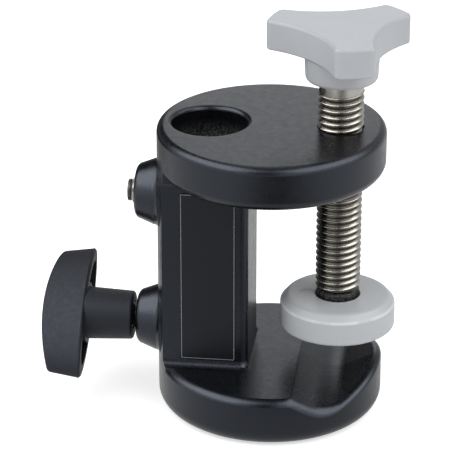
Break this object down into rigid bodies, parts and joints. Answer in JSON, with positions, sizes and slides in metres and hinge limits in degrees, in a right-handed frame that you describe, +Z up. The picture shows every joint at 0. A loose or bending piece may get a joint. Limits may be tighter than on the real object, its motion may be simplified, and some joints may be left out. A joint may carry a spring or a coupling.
{
  "type": "super clamp",
  "caption": "Compact C-frame screw clamp with a lobed handle, a swivelling pressure pad, a saddle jaw, and a stud receiver with a locking T-knob and a sprung safety pin.",
  "frame": {"origin": "on the axis of the round cast frame, at its flat underside", "axes": "+X from the column with the receiver to the clamp screw, +Y to the back of the clamp as seen in the picture, +Z up along the clamp screw"},
  "size_m": [0.0801, 0.05, 0.0898],
  "materials": {
    "casting": "satin powder coat on die-cast aluminium",
    "steel": "nickel plated",
    "handle_plastic": "fine satin",
    "pad_plastic": "satin",
    "knob_plastic": "fine matte texture",
    "nylon": "smooth",
    "brass": "turned",
    "label": "printed film"
  },
  "bodies": {
    "frame": {"clamp_body": "casting", "button_bush": "steel", "safety_spring": "steel", "label_plate": "label"},
    "pad_carrier": {"thrust_collar": "nylon"},
    "screw": {"clamp_screw": "steel", "screw_handle": "handle_plastic", "keeper_washer": "steel", "keeper_screw": "steel"},
    "pad": {"pressure_pad": "pad_plastic"},
    "shoe": {"lock_shoe": "brass"},
    "knob": {"t_knob": "knob_plastic", "knob_stud": "steel"},
    "safety": {"safety_pin": "steel", "safety_button": "steel"}
  },
  "joints": [
    {"name": "screw_feed", "type": "slide", "parent": "frame", "child": "pad_carrier", "axis": [0, 0, 1], "range_m": [-0.00601, 0.02851]},
    {"name": "screw_turn", "type": "hinge", "parent": "pad_carrier", "child": "screw", "pos_m": [0.015, 0, 0.077], "axis": [0, 0, 1], "range_deg": [-1440, 6840]},
    {"name": "pad_swivel", "type": "hinge", "parent": "pad_carrier", "child": "pad", "pos_m": [0.015, 0, 0.023], "axis": [0, 0, 1], "continuous": true},
    {"name": "shoe_feed", "type": "slide", "parent": "frame", "child": "shoe", "axis": [1, 0, 0], "range_m": [-0.00401, 0.00071]},
    {"name": "knob_turn", "type": "hinge", "parent": "shoe", "child": "knob", "pos_m": [-0.0308, 0, 0.0184], "axis": [1, 0, 0], "range_deg": [-1440, 252]},
    {"name": "safety_pull", "type": "slide", "parent": "frame", "child": "safety", "axis": [-1, 0, 0], "range_m": [0, 0.0016], "stiffness_N_per_m": 300, "springref_m": -0.003, "deforming": ["safety_spring"]}
  ],
  "couplings": [
    {"joint": "screw_feed", "follows": "screw_turn", "m_per_rad": 0.00023873},
    {"joint": "shoe_feed", "follows": "knob_turn", "m_per_rad": 0.00015915}
  ]
}
